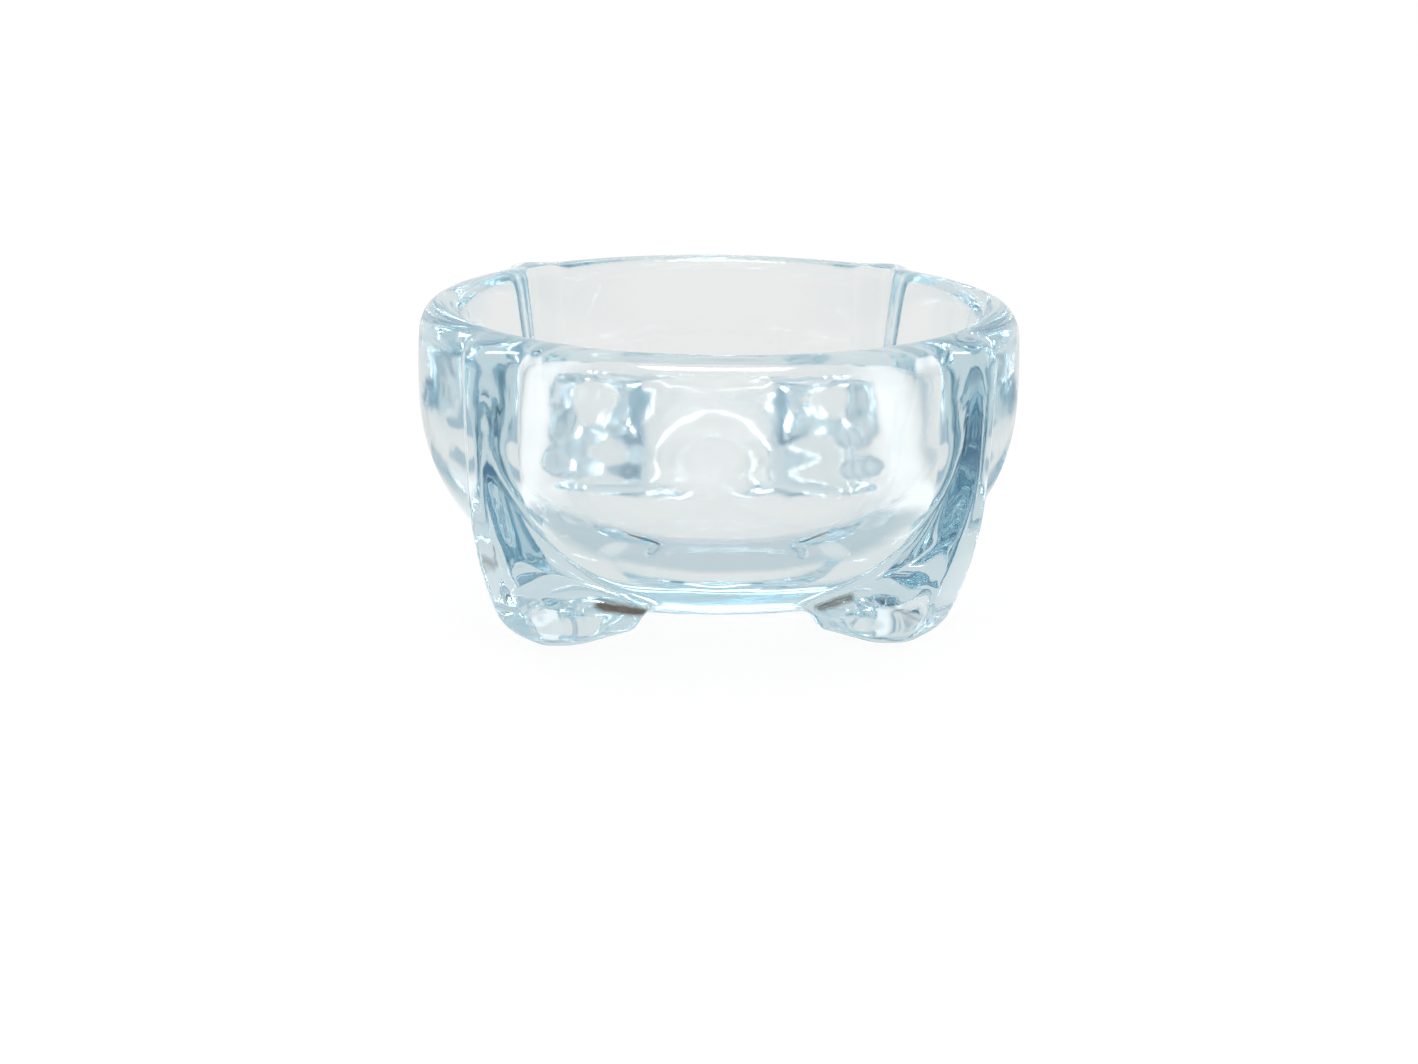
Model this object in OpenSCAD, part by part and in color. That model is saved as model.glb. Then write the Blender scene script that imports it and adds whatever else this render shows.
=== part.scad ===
// Open salt cellar in pressed glass: a round bowl that swells out between four corner pillars,
// each pillar running down into a foot. One solid piece of glass.
// Units are millimetres, +Z is up, and the origin is on the table under the middle of the bowl.

/* [Bowl] */
// Height of the rim above the table
rim_h = 34.9; // [33:0.1:39]
// Radius of the bowl at its widest
belly_r = 35; // [34:0.1:37]
// Height at which the bowl is widest
belly_h = 24; // [22:0.1:26]
// Radius of the arc of the bowl's side above the widest place
shoulder_arc_r = 80; // [60:1:140]
// Radius of the arc of the bowl's side below the widest place
hull_arc_r = 22.8; // [22:0.1:24]
// Radius of the roll along the outer edge of the rim
rim_roll = 2.1; // [0.8:0.1:2.4]

/* [Well] */
// Radius of the well at its mouth
mouth_r = 30.1; // [28:0.1:31]
// Radius of the well where its side meets the round corner of the floor
well_side_r = 27.9; // [27:0.1:30]
// Height of the floor of the well above the table
floor_h = 10.4; // [8:0.1:12]
// Radius of the round corner between the side and the floor
well_corner_r = 12.5; // [8:0.5:16]

/* [Pillars] */
// Distance from the axis to the flat faces of the pillars
pillar_face = 27.1; // [26.5:0.1:28]
// Distance from the axis to the corner faces of the pillars where they stand out furthest
pillar_corner = 37.4; // [36.5:0.1:38]
// Height below which the flat faces start to curve in
face_turn_h = 17; // [14:0.5:20]
// Radius of that curve
face_arc_r = 50; // [38:1:60]
// Height at which the corner faces stand out furthest
corner_turn_h = 25.5; // [22:0.5:28]
// Radius of their curve below that height
corner_arc_r = 52; // [46:0.5:60]
// Radius of their curve above that height
corner_shoulder_r = 70; // [50:1:140]

/* [Feet] */
// Radius of the round toe of each foot, seen on its flat faces
toe_r = 5.2; // [4:0.1:7]
// Radius of the round toe of each foot, seen on its corner face
corner_toe_r = 4.6; // [4:0.1:6.5]
// Height of the vault under the base, at its middle
vault_h = 4.7; // [3:0.1:5.5]
// Half the width of the vault where it meets the table
vault_half_w = 17; // [15:0.1:18]
// Half the gap between two feet, at the height of its top
gap_half_w = 7.5; // [6:0.1:9]
// Height up to which the feet stand apart
gap_h = 8.2; // [7.5:0.1:9]
// How far each side of the gap leans outwards for each millimetre down
gap_lean_share = 0.47; // [0.2:0.01:0.7]

/* [Hidden] */
$fn = 96;
large_fn = 360;
overrun = 1;

// Radius of the bowl where the arc of its side would meet the height of the rim
rim_r = belly_r - shoulder_arc_r + sqrt(pow(shoulder_arc_r, 2) - pow(rim_h - belly_h, 2));
// Height at which the roll along the rim starts
roll_h = rim_h - rim_roll;
// Half the width of a block that is larger than the whole piece
reach = pillar_corner + overrun;
// Distance from a pillar's middle plane to the arris between its flat face and its corner face
arris_at = pillar_corner * sqrt(2) - pillar_face;
// Radius of the round vault under the base
vault_r = (pow(vault_half_w, 2) + pow(vault_h, 2)) / (2 * vault_h);
// Half the gap between two feet at the table
gap_foot_half_w = gap_half_w + gap_h * gap_lean_share;
// Height of the centre of the well's round corner, and radius of the flat middle of its floor
well_corner_h = floor_h + well_corner_r;
floor_flat_r = well_side_r - well_corner_r;

glass_body();

module glass_body() {
    color([0.78, 0.89, 0.93, 0.6])
    difference() {
        union() {
            bowl();
            difference() {
                pillars();
                foot_gaps();
            }
        }
        well();
        vaults();
    }
}

// The round bowl without its well
module bowl() {
    rotate_extrude()
    union() {
        bowl_above_belly();
        bowl_below_belly();
    }
}

// Half section of the bowl from its widest place up to the rolled rim
module bowl_above_belly() {
    roll_at = rim_r - rim_roll;
    intersection() {
        translate([belly_r - shoulder_arc_r, belly_h]) circle(r = shoulder_arc_r, $fn = large_fn);
        translate([0, belly_h]) square([belly_r, roll_h - belly_h]);
    }
    translate([0, belly_h]) square([roll_at, rim_h - belly_h]);
    translate([roll_at, roll_h]) circle(r = rim_roll);
}

// Half section of the bowl from its widest place down to its flat middle
module bowl_below_belly() {
    middle_r = belly_r - hull_arc_r;
    underside_h = max(0, belly_h - hull_arc_r);
    intersection() {
        translate([middle_r, belly_h]) circle(r = hull_arc_r, $fn = large_fn);
        square([belly_r, belly_h]);
    }
    translate([0, underside_h]) square([middle_r, belly_h - underside_h]);
}

// The well, open at the top
module well() {
    rotate_extrude()
    union() {
        polygon([
            [0, well_corner_h],
            [well_side_r, well_corner_h],
            [mouth_r, rim_h],
            [mouth_r, rim_h + overrun],
            [0, rim_h + overrun]
        ]);
        intersection() {
            translate([floor_flat_r, well_corner_h]) circle(r = well_corner_r, $fn = large_fn);
            translate([0, floor_h]) square([well_side_r, well_corner_r]);
        }
        translate([0, floor_h]) square([floor_flat_r, well_corner_r]);
    }
}

// The four pillars as one block with eight upright sides, each side curved in towards the feet
module pillars() {
    difference() {
        difference() {
            upright_block();
            for (turn = [45:90:315])
                rotate([0, 0, turn])
                side_waste(arris_at / 2) {
                    corner_top();
                    side_foot(pillar_corner, corner_turn_h, corner_arc_r, corner_toe_r);
                }
        }
        for (turn = [0:90:270])
            rotate([0, 0, turn])
            side_waste(arris_at + overrun) {
                face_top();
                side_foot(pillar_face, face_turn_h, face_arc_r, toe_r);
            }
    }
}

// A square block with its four corners cut off
module upright_block() {
    linear_extrude(height = rim_h)
    intersection() {
        square(2 * pillar_face, center = true);
        rotate(45) square(2 * pillar_corner, center = true);
    }
}

// What is cut away along one side of the block: everything outside the half outline given as children
module side_waste(half_w) {
    rotate([90, 0, 0])
    linear_extrude(height = 2 * half_w, center = true)
    difference() {
        translate([0, -overrun]) square([reach, rim_h + 2 * overrun]);
        children();
    }
}

// Upper half outline of a flat face: upright, under a rolled edge
module face_top() {
    translate([0, face_turn_h]) square([pillar_face, roll_h - face_turn_h]);
    rolled_top(pillar_face, face_turn_h);
}

// Upper half outline of a corner face: leaning in a little as it rises, under a rolled edge
module corner_top() {
    lean = corner_shoulder_r - sqrt(pow(corner_shoulder_r, 2) - pow(roll_h - corner_turn_h, 2));
    intersection() {
        translate([pillar_corner - corner_shoulder_r, corner_turn_h])
        circle(r = corner_shoulder_r, $fn = large_fn);
        translate([0, corner_turn_h]) square([pillar_corner, roll_h - corner_turn_h]);
    }
    rolled_top(pillar_corner - lean, corner_turn_h);
}

// The rolled edge at the top of a side that ends at this distance from the axis
module rolled_top(side_at, from_h) {
    translate([0, from_h]) square([side_at - rim_roll, rim_h + overrun - from_h]);
    translate([side_at - rim_roll, roll_h]) circle(r = rim_roll);
}

// Lower half outline of a side: curving in to a round toe
module side_foot(face, turn_h, arc_r, toe) {
    toe_at = face - arc_r + sqrt(pow(arc_r - toe, 2) - pow(turn_h - toe, 2));
    join_h = turn_h - arc_r * (turn_h - toe) / (arc_r - toe);
    translate([0, -overrun]) square([toe_at, turn_h + overrun]);
    translate([toe_at, toe]) circle(r = toe);
    intersection() {
        translate([face - arc_r, turn_h]) circle(r = arc_r, $fn = large_fn);
        translate([0, join_h]) square([face, turn_h - join_h]);
    }
}

// The gap between the feet on each of the four sides, open downwards
module foot_gaps() {
    for (turn = [0, 90])
        rotate([90, 0, turn])
        linear_extrude(height = 2 * reach, center = true)
        polygon([
            [-gap_half_w, gap_h],
            [gap_half_w, gap_h],
            [gap_foot_half_w, 0],
            [gap_foot_half_w, -overrun],
            [-gap_foot_half_w, -overrun],
            [-gap_foot_half_w, 0]
        ]);
}

// Two low round vaults that cross under the base and leave it standing on its four feet
module vaults() {
    for (turn = [0, 90])
        rotate([90, 0, turn])
        linear_extrude(height = 2 * reach, center = true)
        intersection() {
            translate([0, vault_h - vault_r]) circle(r = vault_r, $fn = large_fn);
            translate([-vault_half_w, -overrun]) square([2 * vault_half_w, vault_h + 2 * overrun]);
        }
}
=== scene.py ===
import math

import bpy
from mathutils import Matrix, Vector


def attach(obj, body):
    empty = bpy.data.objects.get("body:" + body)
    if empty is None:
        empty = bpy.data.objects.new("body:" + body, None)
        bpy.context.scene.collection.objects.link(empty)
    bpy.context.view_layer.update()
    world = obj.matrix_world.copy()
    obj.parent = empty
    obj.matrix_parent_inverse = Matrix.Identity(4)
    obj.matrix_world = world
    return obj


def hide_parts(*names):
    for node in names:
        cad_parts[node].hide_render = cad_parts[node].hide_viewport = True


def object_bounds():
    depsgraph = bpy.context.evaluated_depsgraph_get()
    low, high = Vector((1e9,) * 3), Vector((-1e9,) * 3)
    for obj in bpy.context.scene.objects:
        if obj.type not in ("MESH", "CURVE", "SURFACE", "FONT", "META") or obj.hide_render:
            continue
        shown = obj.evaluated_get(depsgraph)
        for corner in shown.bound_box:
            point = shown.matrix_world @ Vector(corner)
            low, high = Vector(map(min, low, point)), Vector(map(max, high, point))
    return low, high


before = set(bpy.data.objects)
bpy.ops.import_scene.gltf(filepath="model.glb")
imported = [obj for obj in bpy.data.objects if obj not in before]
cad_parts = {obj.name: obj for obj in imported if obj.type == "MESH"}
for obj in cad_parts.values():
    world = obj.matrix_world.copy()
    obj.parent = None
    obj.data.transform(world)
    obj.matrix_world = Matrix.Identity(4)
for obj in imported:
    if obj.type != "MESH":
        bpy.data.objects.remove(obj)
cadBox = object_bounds()
mm = 0.001
mergeGap = 0.001 * mm
print("frame loaded, CAD box", [round(v / mm, 2) for corner in cadBox for v in corner])


# Working habits shared by every piece

def deselectAll():
    if bpy.context.mode != "OBJECT":
        bpy.ops.object.mode_set(mode="OBJECT")
    bpy.ops.object.select_all(action="DESELECT")


def pick(piece):
    deselectAll()
    piece.select_set(True)
    bpy.context.view_layer.objects.active = piece


def editAll(piece):  # edit mode with the whole mesh selected
    pick(piece)
    bpy.ops.object.mode_set(mode="EDIT")
    bpy.ops.mesh.select_all(action="SELECT")


def doneEditing():  # merges doubles and turns the faces outwards
    bpy.ops.mesh.select_all(action="SELECT")
    bpy.ops.mesh.remove_doubles(threshold=mergeGap)
    bpy.ops.mesh.normals_make_consistent(inside=False)
    bpy.ops.object.mode_set(mode="OBJECT")


def finishWith(piece, kind, **settings):  # adds a modifier and applies it at once
    pick(piece)
    modifier = piece.modifiers.new(kind.lower(), kind)
    for key, value in settings.items():
        setattr(modifier, key, value)
    bpy.ops.object.modifier_apply(modifier=modifier.name)


def combine(piece, tool, how):  # boolean, and the tool goes
    finishWith(piece, "BOOLEAN", operation=how, object=tool, solver="EXACT")
    bpy.data.objects.remove(tool)


def arc(centre, radius, start, end, steps):  # points of an arc, in degrees, both ends included
    turn = [math.radians(start + (end - start) * i / steps) for i in range(steps + 1)]
    return [(centre[0] + radius * math.cos(t), centre[1] + radius * math.sin(t)) for t in turn]


def startPoint(name, at):  # a plane merged to one vertex, to extrude a line from
    deselectAll()
    bpy.ops.mesh.primitive_plane_add(size=mm, location=(0, 0, 0))
    piece = bpy.context.object
    piece.name = name
    bpy.ops.object.mode_set(mode="EDIT")
    bpy.ops.mesh.select_all(action="SELECT")
    bpy.ops.mesh.merge(type="CENTER")
    bpy.ops.transform.translate(value=(at[0] * mm, 0, at[1] * mm))
    return piece


def spinProfile(name, profile, steps):  # a round solid from a half section that starts and ends on the axis
    piece = startPoint(name, profile[0])
    for (x0, z0), (x1, z1) in zip(profile, profile[1:]):
        move = ((x1 - x0) * mm, 0, (z1 - z0) * mm)
        bpy.ops.mesh.extrude_vertices_move(TRANSFORM_OT_translate={"value": move})
    bpy.ops.mesh.select_all(action="SELECT")
    bpy.ops.mesh.spin(steps=steps, angle=2 * math.pi, center=(0, 0, 0), axis=(0, 0, 1))
    doneEditing()
    return piece


def risingPrism(name, levels, turn):  # a square column whose half width follows (half width, height) levels
    deselectAll()
    bpy.ops.mesh.primitive_plane_add(size=2 * levels[0][0] * mm, location=(0, 0, 0))
    piece = bpy.context.object
    piece.name = name
    bpy.ops.object.mode_set(mode="EDIT")
    bpy.ops.mesh.select_all(action="SELECT")
    bpy.ops.transform.translate(value=(0, 0, levels[0][1] * mm))
    for (w0, z0), (w1, z1) in zip(levels, levels[1:]):
        bpy.ops.mesh.extrude_region_move(TRANSFORM_OT_translate={"value": (0, 0, (z1 - z0) * mm)})
        grow = w1 / w0
        bpy.ops.transform.resize(value=(grow, grow, 1), center_override=(0, 0, z1 * mm))
    bpy.ops.mesh.select_all(action="SELECT")
    bpy.ops.transform.rotate(value=-turn, orient_axis="Z", center_override=(0, 0, 0))
    doneEditing()
    return piece


def tunnel(name, section, length, turn):  # a section in x and z, drawn out along y and turned
    piece = startPoint(name, section[0])
    for (x0, z0), (x1, z1) in zip(section, section[1:]):
        move = ((x1 - x0) * mm, 0, (z1 - z0) * mm)
        bpy.ops.mesh.extrude_vertices_move(TRANSFORM_OT_translate={"value": move})
    bpy.ops.mesh.select_all(action="SELECT")
    bpy.ops.mesh.edge_face_add()
    bpy.ops.transform.translate(value=(0, -length / 2 * mm, 0))
    bpy.ops.mesh.extrude_region_move(TRANSFORM_OT_translate={"value": (0, length * mm, 0)})
    bpy.ops.mesh.select_all(action="SELECT")
    bpy.ops.transform.rotate(value=-turn, orient_axis="Z", center_override=(0, 0, 0))
    doneEditing()
    return piece


# The glass, in millimetres

glass = {
    "rimHeight": 34.9,
    "bellyRadius": 35.0,
    "bellyHeight": 24.0,
    "shoulderArc": 80.0,
    "hullArc": 22.8,
    "rimRoll": 2.1,
    "mouthRadius": 30.1,
    "mouthRoll": 0.6,
    "wellSide": 27.9,
    "floorHeight": 10.4,
    "wellCorner": 12.5,
    "faceAt": 27.1,
    "faceTurn": 17.0,
    "faceArc": 50.0,
    "faceToe": 5.2,
    "cornerAt": 37.4,
    "cornerTurn": 25.5,
    "cornerArc": 52.0,
    "cornerToe": 4.6,
    "cornerShoulder": 70.0,
    "vaultHeight": 4.7,
    "vaultHalf": 17.0,
    "gapHalf": 7.5,
    "gapHeight": 8.2,
    "gapLean": 0.47,
    "overrun": 1.0,
    "spinSteps": 256,
    "hullSteps": 45,
    "wellSteps": 36,
    "vaultSteps": 32,
    "sideSteps": 12,
    "shoulderSteps": 8,
    "rollSteps": 12,
    "mouthSteps": 6,
    "grain": 0.5,
    "melt": 18,
    "meltShare": 0.5,
    "ripple": 0.1,
    "rippleSize": 11.0,
}


def bowlSection(g):
    rollAt = g["bellyRadius"] - g["shoulderArc"] + math.sqrt(
        g["shoulderArc"] ** 2 - (g["rimHeight"] - g["bellyHeight"]) ** 2) - g["rimRoll"]
    rollHeight = g["rimHeight"] - g["rimRoll"]
    middle = g["bellyRadius"] - g["hullArc"]
    top = math.degrees(math.asin((rollHeight - g["bellyHeight"]) / g["shoulderArc"]))
    section = [(0, g["bellyHeight"] - g["hullArc"])]
    section += arc((middle, g["bellyHeight"]), g["hullArc"], -90, 0, g["hullSteps"])
    inner = g["bellyRadius"] - g["shoulderArc"]
    section += arc((inner, g["bellyHeight"]), g["shoulderArc"], 0, top, g["sideSteps"])[1:]
    section += arc((rollAt, rollHeight), g["rimRoll"], 0, 90, g["rollSteps"])[1:]
    section.append((0, g["rimHeight"]))
    return section


def wellSection(g):
    flat = g["wellSide"] - g["wellCorner"]
    cornerHeight = g["floorHeight"] + g["wellCorner"]
    section = [(0, g["floorHeight"])]
    section += arc((flat, cornerHeight), g["wellCorner"], -90, 0, g["wellSteps"])
    rollAt = g["mouthRadius"] + g["mouthRoll"]
    section += arc((rollAt, g["rimHeight"] - g["mouthRoll"]), g["mouthRoll"], 180, 90, g["mouthSteps"])
    section.append((rollAt, g["rimHeight"] + g["overrun"]))
    section.append((0, g["rimHeight"] + g["overrun"]))
    return section


def pillarLevels(g, side):  # toe, curve, upright or barrelled side, and rolled top edge
    at, turnHeight, curve, toe = (g[side + part] for part in ("At", "Turn", "Arc", "Toe"))
    toeAt = at - curve + math.sqrt((curve - toe) ** 2 - (turnHeight - toe) ** 2)
    lean = math.degrees(math.asin((turnHeight - toe) / (curve - toe)))
    levels = arc((toeAt, toe), toe, -90, -lean, g["sideSteps"])
    levels += arc((at - curve, turnHeight), curve, -lean, 0, g["sideSteps"])[1:]
    rollHeight = g["rimHeight"] - g["rimRoll"]
    if side + "Shoulder" in g:
        shoulder = g[side + "Shoulder"]
        top = math.degrees(math.asin((rollHeight - turnHeight) / shoulder))
        levels += arc((at - shoulder, turnHeight), shoulder, 0, top, g["shoulderSteps"])[1:]
        at = levels.pop()[0]
    levels += arc((at - g["rimRoll"], rollHeight), g["rimRoll"], 0, 90, g["rollSteps"])
    return levels


def settle(piece, low, high):  # the melt shrinks a piece slightly; this brings it back to its box
    corners = [Vector(c) for c in piece.bound_box]
    lowest = Vector([min(c[i] for c in corners) for i in range(3)])
    highest = Vector([max(c[i] for c in corners) for i in range(3)])
    grow = [(high[i] - low[i]) / (highest[i] - lowest[i]) for i in range(3)]
    editAll(piece)
    bpy.ops.transform.translate(value=[(low[i] + high[i] - lowest[i] - highest[i]) / 2 for i in range(3)])
    bpy.ops.transform.resize(value=grow, center_override=[(low[i] + high[i]) / 2 for i in range(3)])
    bpy.ops.object.mode_set(mode="OBJECT")


def makeGlassBody(g):
    body = spinProfile("glass_salt_cellar", bowlSection(g), g["spinSteps"])
    pillars = risingPrism("pillars", pillarLevels(g, "face"), 0)
    corners = risingPrism("corners", pillarLevels(g, "corner"), math.pi / 4)
    combine(pillars, corners, "INTERSECT")
    footHalf = g["gapHalf"] + g["gapHeight"] * g["gapLean"]
    gapSection = [(-g["gapHalf"], g["gapHeight"]), (g["gapHalf"], g["gapHeight"]), (footHalf, 0),
                  (footHalf, -g["overrun"]), (-footHalf, -g["overrun"]), (-footHalf, 0)]
    vaultRadius = (g["vaultHalf"] ** 2 + g["vaultHeight"] ** 2) / (2 * g["vaultHeight"])
    spread = math.degrees(math.asin(g["vaultHalf"] / vaultRadius))
    centre = (0, g["vaultHeight"] - vaultRadius)
    vaultSection = arc(centre, vaultRadius, 90 - spread, 90 + spread, g["vaultSteps"])
    vaultSection += [(-g["vaultHalf"], -g["overrun"]), (g["vaultHalf"], -g["overrun"])]
    length = 3 * g["cornerAt"]  # well past both sides
    for turn in (0, math.pi / 2):
        combine(pillars, tunnel("gap", gapSection, length, turn), "DIFFERENCE")
    combine(body, pillars, "UNION")
    combine(body, spinProfile("well", wellSection(g), g["spinSteps"]), "DIFFERENCE")
    for turn in (0, math.pi / 2):
        combine(body, tunnel("vault", vaultSection, length, turn), "DIFFERENCE")
    print("glass cut:", len(body.data.polygons), "faces")
    finishWith(body, "REMESH", mode="VOXEL", voxel_size=g["grain"] * mm, use_smooth_shade=True)
    finishWith(body, "SMOOTH", factor=g["meltShare"], iterations=g["melt"])
    waves = bpy.data.textures.new("hand_made_waves", "CLOUDS")
    waves.noise_scale = g["rippleSize"] * mm
    finishWith(body, "DISPLACE", texture=waves, texture_coords="LOCAL", strength=g["ripple"] * mm)
    settle(body, *cadBox)
    pick(body)
    bpy.ops.object.shade_smooth()
    print("glass fire-polished:", len(body.data.polygons), "faces")
    return body


glassBody = makeGlassBody(glass)
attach(glassBody, "root")
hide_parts("glass_body")


# Shader maths as expressions

class Wire:
    def __init__(self, tree, socket):
        self.tree, self.socket = tree, socket

    def maths(self, operation, *others, clamp=False):
        node = self.tree.nodes.new("ShaderNodeMath")
        node.operation, node.use_clamp = operation, clamp
        for slot, value in zip(node.inputs, (self, *others)):
            if isinstance(value, Wire):
                self.tree.links.new(value.socket, slot)
            else:
                slot.default_value = value
        return Wire(self.tree, node.outputs[0])

    def clamped(self):
        return self.maths("ADD", 0.0, clamp=True)

    def __add__(self, other):
        return self.maths("ADD", other)

    def __sub__(self, other):
        return self.maths("SUBTRACT", other)

    def __mul__(self, other):
        return self.maths("MULTIPLY", other)

    __radd__, __rmul__ = __add__, __mul__

    def __rsub__(self, other):
        return (self * -1) + other


class Finish:
    def __init__(self, tree):
        self.tree = tree
        tree.nodes.clear()

    def node(self, kind, settings=None, **sockets):
        made = self.tree.nodes.new("ShaderNode" + kind)
        for key, value in (settings or {}).items():
            setattr(made, key, value)
        for key, value in sockets.items():
            slot = made.inputs[key.replace("_", " ")]
            if isinstance(value, Wire):
                self.tree.links.new(value.socket, slot)
            else:
                slot.default_value = value
        return made

    def within(self, value, limit, sharpness):  # 1 where value is below limit, with a soft edge
        return ((limit - value) * sharpness).clamped()

    def blendColours(self, mask, first, second):  # first where the mask is 0, second where it is 1
        made = self.tree.nodes.new("ShaderNodeMix")
        made.data_type = "RGBA"
        for slot, value in zip((0, 6, 7), (mask, first, second)):
            if isinstance(value, Wire):
                self.tree.links.new(value.socket, made.inputs[slot])
            else:
                made.inputs[slot].default_value = value
        return Wire(self.tree, made.outputs[2])

    def wire(self, node, output=0):
        return Wire(self.tree, node.outputs[output])

    def link(self, node, output, target, slot):
        self.tree.links.new(node.outputs[output], target.inputs[slot])


glassFinish = {
    "ior": 1.51,
    "tint": (0.53, 0.75, 0.83, 1),
    "density": 16.0,
    "wornRoughness": 0.16,
    "wornHeight": 0.9 * mm,
    "wellRoughness": 0.07,
    "wellRadius": 30.3 * mm,
    "wellEdge": 2500.0,
    "wellFloor": 9.8 * mm,
    "chillScale": 210.0,
    "chillDetail": 1.0,
    "chillDepth": 0.01 * mm,
    "soilRoughness": 0.85,
    "soilDark": (0.045, 0.035, 0.028, 1),
    "soilPale": (0.17, 0.14, 0.11, 1),
    "soilScale": 900.0,
    "soilDetail": 3.0,
    "soilEdge": 1600.0,
    "soilCore": 0.55,
    "soilRagged": 0.9,
    "soilStreaks": [  # start, end and half width in metres, and strength
        ((-0.0136, -0.0260, 0.0067), (-0.0092, -0.0257, 0.0058), 0.00090, 0.95),
        ((0.0128, -0.0262, 0.0075), (0.0097, -0.0258, 0.0062), 0.00080, 0.80),
        ((0.0162, -0.0261, 0.0071), (0.0207, -0.0255, 0.0044), 0.00035, 0.65),
        ((0.0212, -0.0275, 0.0323), (0.0212, -0.0275, 0.0305), 0.00040, 0.25),
        ((-0.0134, 0.0260, 0.0067), (-0.0100, 0.0258, 0.0060), 0.00060, 0.70),
        ((0.0259, 0.0100, 0.0062), (0.0261, 0.0132, 0.0068), 0.00055, 0.60),
    ],
}


def soilStreak(shader, f, place, mottle, start, end, width, strength):  # old soil along a line on the glass
    line = Vector(end) - Vector(start)
    reach = shader.node("VectorMath", {"operation": "SUBTRACT"})
    shader.tree.links.new(place.socket, reach.inputs[0])
    reach.inputs[1].default_value = start
    along = shader.node("VectorMath", {"operation": "DOT_PRODUCT"})
    shader.link(reach, 0, along, 0)
    along.inputs[1].default_value = line / line.length_squared
    share = shader.wire(along, "Value").clamped()
    nearest = shader.node("VectorMath", {"operation": "SCALE"})
    nearest.inputs[0].default_value = line
    shader.tree.links.new(share.socket, nearest.inputs["Scale"])
    gap = shader.node("VectorMath", {"operation": "DISTANCE"})
    shader.link(reach, 0, gap, 0)
    shader.link(nearest, 0, gap, 1)
    ragged = width * f["soilCore"] + mottle * (width * f["soilRagged"])
    return ((ragged - shader.wire(gap, "Value")) * f["soilEdge"]).clamped() * strength


def makeGlassFinish(f):
    material = bpy.data.materials.new("ice_blue_glass")
    material.use_nodes = True
    shader = Finish(material.node_tree)
    place = shader.wire(shader.node("TexCoord"), "Object")
    spot = shader.node("SeparateXYZ", Vector=place)
    x, y, height = (shader.wire(spot, i) for i in range(3))
    worn = shader.within(height, f["wornHeight"], 1 / f["wornHeight"])
    inside = shader.within((x * x + y * y).maths("SQRT"), f["wellRadius"], f["wellEdge"])
    inWell = inside * height.maths("GREATER_THAN", f["wellFloor"])
    chill = shader.node("TexNoise", Vector=place, Scale=f["chillScale"], Detail=f["chillDetail"])
    relief = shader.node("Bump", Height=shader.wire(chill), Distance=f["chillDepth"], Strength=1.0)
    dulled = worn * f["wornRoughness"] + inWell * f["wellRoughness"]  # by the table, and by salt and spoons
    skin = shader.node("BsdfPrincipled", Base_Color=(1, 1, 1, 1), Roughness=dulled, IOR=f["ior"],
                       Transmission_Weight=1.0, Normal=shader.wire(relief))
    mottle = shader.wire(shader.node("TexNoise", Vector=place, Scale=f["soilScale"], Detail=f["soilDetail"]))
    soilColour = shader.blendColours(mottle, f["soilDark"], f["soilPale"])
    soil = shader.node("BsdfPrincipled", Base_Color=soilColour, Roughness=f["soilRoughness"])
    cover = sum(soilStreak(shader, f, place, mottle, *streak) for streak in f["soilStreaks"])
    mix = shader.node("MixShader", Fac=cover.clamped())
    shader.link(skin, 0, mix, 1)
    shader.link(soil, 0, mix, 2)
    depth = shader.node("VolumeAbsorption", Color=f["tint"], Density=f["density"])
    out = shader.node("OutputMaterial")
    shader.link(mix, 0, out, "Surface")
    shader.link(depth, 0, out, "Volume")
    return material


glassBody.data.materials.clear()
glassBody.data.materials.append(makeGlassFinish(glassFinish))
print("glass finished")


# Floor, light and world

stage = {
    "floorSize": 6.0,
    "floorColour": (0.16, 0.16, 0.16, 1),
    "floorGlow": 0.87,
    "paperColour": (0.86, 0.86, 0.845, 1),
    "zones": [  # seen in the glass: middle and half size in |x| and y, in metres, edge and colour
        # a painted pool of light: a patch brighter than the paper on both sides of the salt cellar
        {"middle": (0.0355, 0.005), "half": (0.0105, 0.038), "edge": 150.0, "colour": (1.15, 1.15, 1.14, 1)},
        # a painted shadow on the floor, in front of and under the front feet
        {"middle": (0.0, -0.024), "half": (0.031, 0.011), "edge": 250.0, "colour": (0.58, 0.66, 0.69, 1)},
        {"middle": (0.120, 0.0), "half": (0.042, 0.100), "edge": 40.0, "colour": (0.42, 0.54, 0.60, 1)},
        {"middle": (0.0555, 0.018), "half": (0.0095, 0.026), "edge": 220.0, "colour": (0.36, 0.50, 0.58, 1)},
    ],
    "roomColour": (0.86, 0.86, 0.85, 1),
    "darkColour": (0.10, 0.22, 0.34, 1),
    "boxColour": (14.0, 14.0, 14.0, 1),
    "boxInGlass": (0.95, 0.95, 0.95, 1),
    "lowTop": 1.2,  # the dark horizon: how it fades upwards and towards the front and back
    "lowFall": 10.0,
    "sideFrom": 0.55,
    "sideRise": 3.0,
    "boxMiddle": (-0.05, -0.47),  # the soft box overhead, as the slopes x/z and y/z
    "boxHalf": (0.43, 0.19),
    "boxEdge": 12.0,
}


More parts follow.
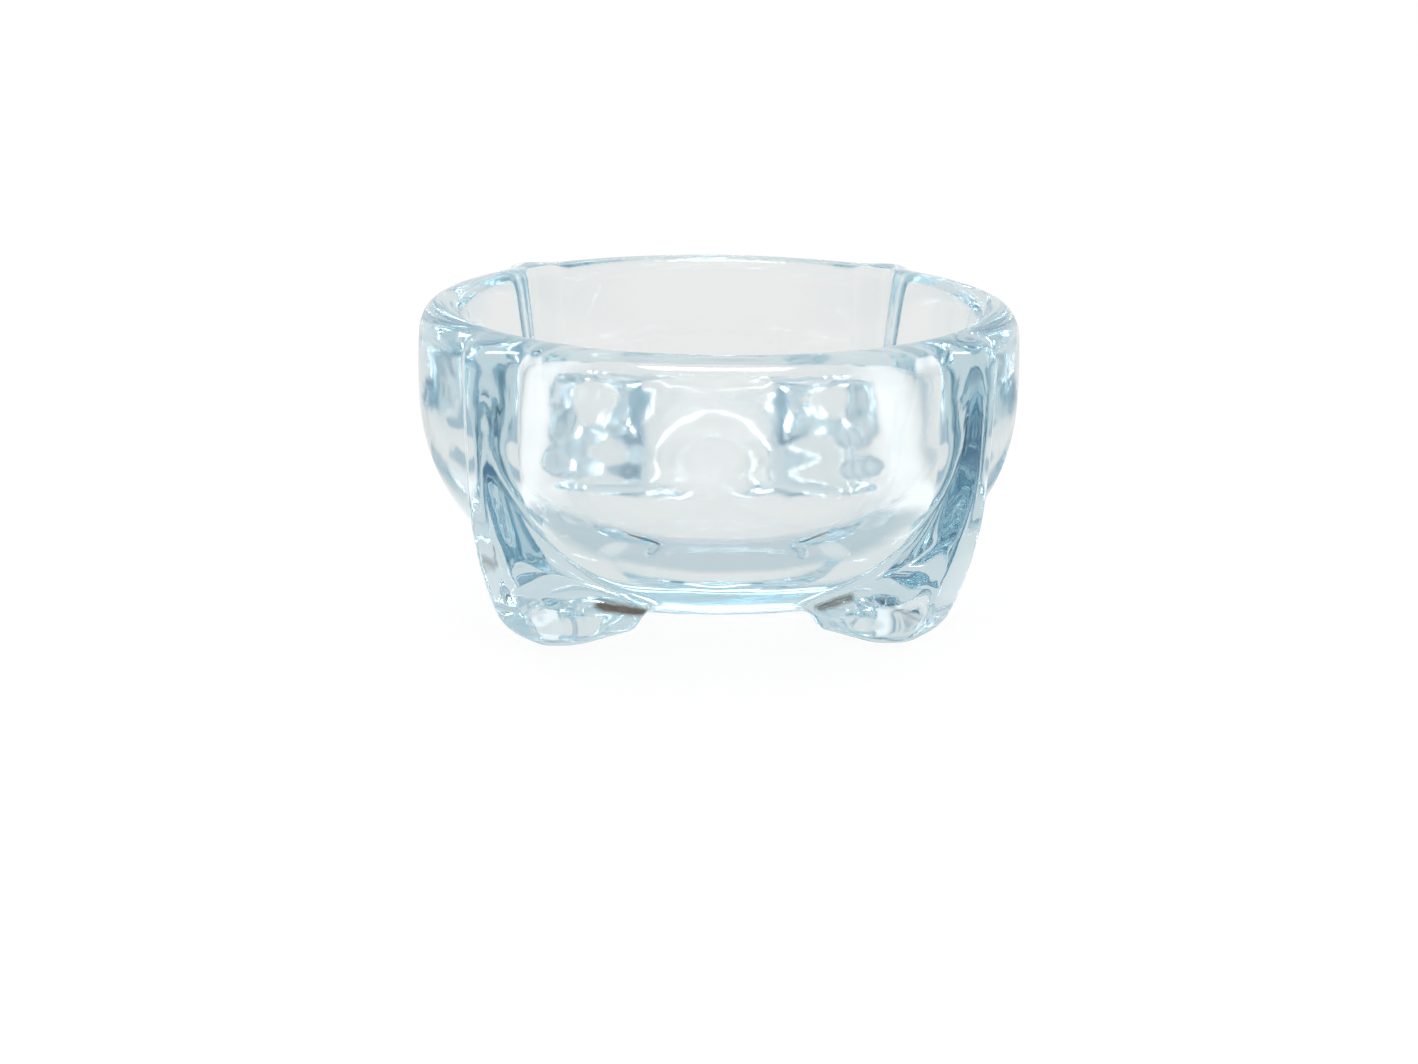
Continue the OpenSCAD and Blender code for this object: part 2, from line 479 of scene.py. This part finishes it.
def makeFloor(s):
    deselectAll()
    bpy.ops.mesh.primitive_plane_add(size=s["floorSize"], location=(0, 0, 0))
    floor = bpy.context.object
    floor.name = "studio_floor"
    material = bpy.data.materials.new("white_table_with_painted_light")
    material.use_nodes = True
    shader = Finish(material.node_tree)
    matt = shader.node("BsdfDiffuse", Color=s["floorColour"])
    glow = shader.node("Emission", Color=(1, 1, 1, 1), Strength=s["floorGlow"])
    table = shader.node("AddShader")
    shader.link(matt, 0, table, 0)
    shader.link(glow, 0, table, 1)
    spot = shader.node("SeparateXYZ", Vector=shader.wire(shader.node("TexCoord"), "Object"))
    across = shader.wire(spot, 0).maths("ABSOLUTE")
    along = shader.wire(spot, 1)
    tone = s["paperColour"]
    # over the paper tone go the zones: a painted pool of light, a painted shadow and darker blue-grey
    # patches, shown only to rays from the glass
    for zone in s["zones"]:
        away = [(value - middle).maths("ABSOLUTE") for value, middle in zip((across, along), zone["middle"])]
        sides = [shader.within(a, half, zone["edge"]) for a, half in zip(away, zone["half"])]
        tone = shader.blendColours(sides[0] * sides[1], tone, zone["colour"])
    paperWithPaintedLight = shader.node("Emission", Color=tone, Strength=1.0)
    mix = shader.node("MixShader", Fac=glassRays(shader))
    shader.link(table, 0, mix, 1)
    shader.link(paperWithPaintedLight, 0, mix, 2)
    out = shader.node("OutputMaterial")
    shader.link(mix, 0, out, "Surface")
    floor.data.materials.append(material)


def glassRays(shader):  # 1 for rays that come from the glass, 0 for all others
    rays = shader.node("LightPath")
    met = shader.wire(rays, "Is Glossy Ray") + shader.wire(rays, "Is Transmission Ray")
    return met.clamped()


def makeWorld(s):
    world = bpy.data.worlds.new("studio")
    bpy.context.scene.world = world
    world.use_nodes = True
    shader = Finish(world.node_tree)
    ways = shader.node("SeparateXYZ", Vector=shader.wire(shader.node("TexCoord"), "Generated"))
    x, y, z = (shader.wire(ways, i) for i in range(3))
    low = (s["lowTop"] - z * z * s["lowFall"]).clamped()
    low = low * ((x.maths("ABSOLUTE") - s["sideFrom"]) * s["sideRise"]).clamped()
    lean = [(x.maths("DIVIDE", z), s["boxMiddle"][0]), (y.maths("DIVIDE", z), s["boxMiddle"][1])]
    away = [(value - middle).maths("ABSOLUTE") for value, middle in lean]
    sides = [shader.within(a, half, s["boxEdge"]) for half, a in zip(s["boxHalf"], away)]
    box = sides[0] * sides[1] * z.maths("GREATER_THAN", 0.0)
    mirrored = shader.wire(shader.node("LightPath"), "Is Glossy Ray")
    boxTone = shader.blendColours(mirrored, s["boxInGlass"], s["boxColour"])
    tone = shader.blendColours(box, shader.blendColours(low, s["roomColour"], s["darkColour"]), boxTone)
    room = shader.node("Background", Color=tone, Strength=1.0)
    white = shader.node("Background", Color=(1, 1, 1, 1), Strength=1.0)
    mix = shader.node("MixShader", Fac=glassRays(shader))
    shader.link(white, 0, mix, 1)
    shader.link(room, 0, mix, 2)
    out = shader.node("OutputWorld")
    shader.link(mix, 0, out, "Surface")


makeFloor(stage)
makeWorld(stage)
print("stage set")


# Camera, at the photograph's viewing angle

cameraView = {
    "focalPixels": 1416.0,
    "frameWidth": 1418.0,
    "sensor": 36.0,
    "nearest": 0.01,
    "furthest": 20.0,
    "aside": -0.9,
    "back": 165.0,
    "height": 64.6,
    "pitch": 0.3435,
    "roll": 0.0115,
    "turn": 0.049,
}


def makeCamera(c):
    data = bpy.data.cameras.new("product_camera")
    data.sensor_width = c["sensor"]
    data.lens = c["focalPixels"] / c["frameWidth"] * c["sensor"]
    data.clip_start, data.clip_end = c["nearest"], c["furthest"]
    camera = bpy.data.objects.new("product_camera", data)
    bpy.context.scene.collection.objects.link(camera)
    ahead = Vector((0, math.cos(c["pitch"]), -math.sin(c["pitch"])))
    upright = Vector((0, math.sin(c["pitch"]), math.cos(c["pitch"])))
    across = Vector((1, 0, 0)) * math.cos(c["roll"]) + upright * math.sin(c["roll"])
    up = upright * math.cos(c["roll"]) - Vector((1, 0, 0)) * math.sin(c["roll"])
    axes = Matrix((across, up, -ahead)).transposed().to_4x4()
    place = Matrix.Translation(Vector((c["aside"], -c["back"], c["height"])) * mm)
    camera.matrix_world = Matrix.Rotation(-c["turn"], 4, "Z") @ place @ axes
    bpy.context.scene.camera = camera


makeCamera(cameraView)
bpy.context.scene.view_settings.view_transform = "Standard"


# Thick glass passes light on many times before it leaves

lightBounces = {"all": 32, "mirrored": 24, "throughGlass": 24}
paths = bpy.context.scene.cycles
paths.max_bounces = lightBounces["all"]
paths.glossy_bounces = lightBounces["mirrored"]
paths.transmission_bounces = lightBounces["throughGlass"]
print("camera set")
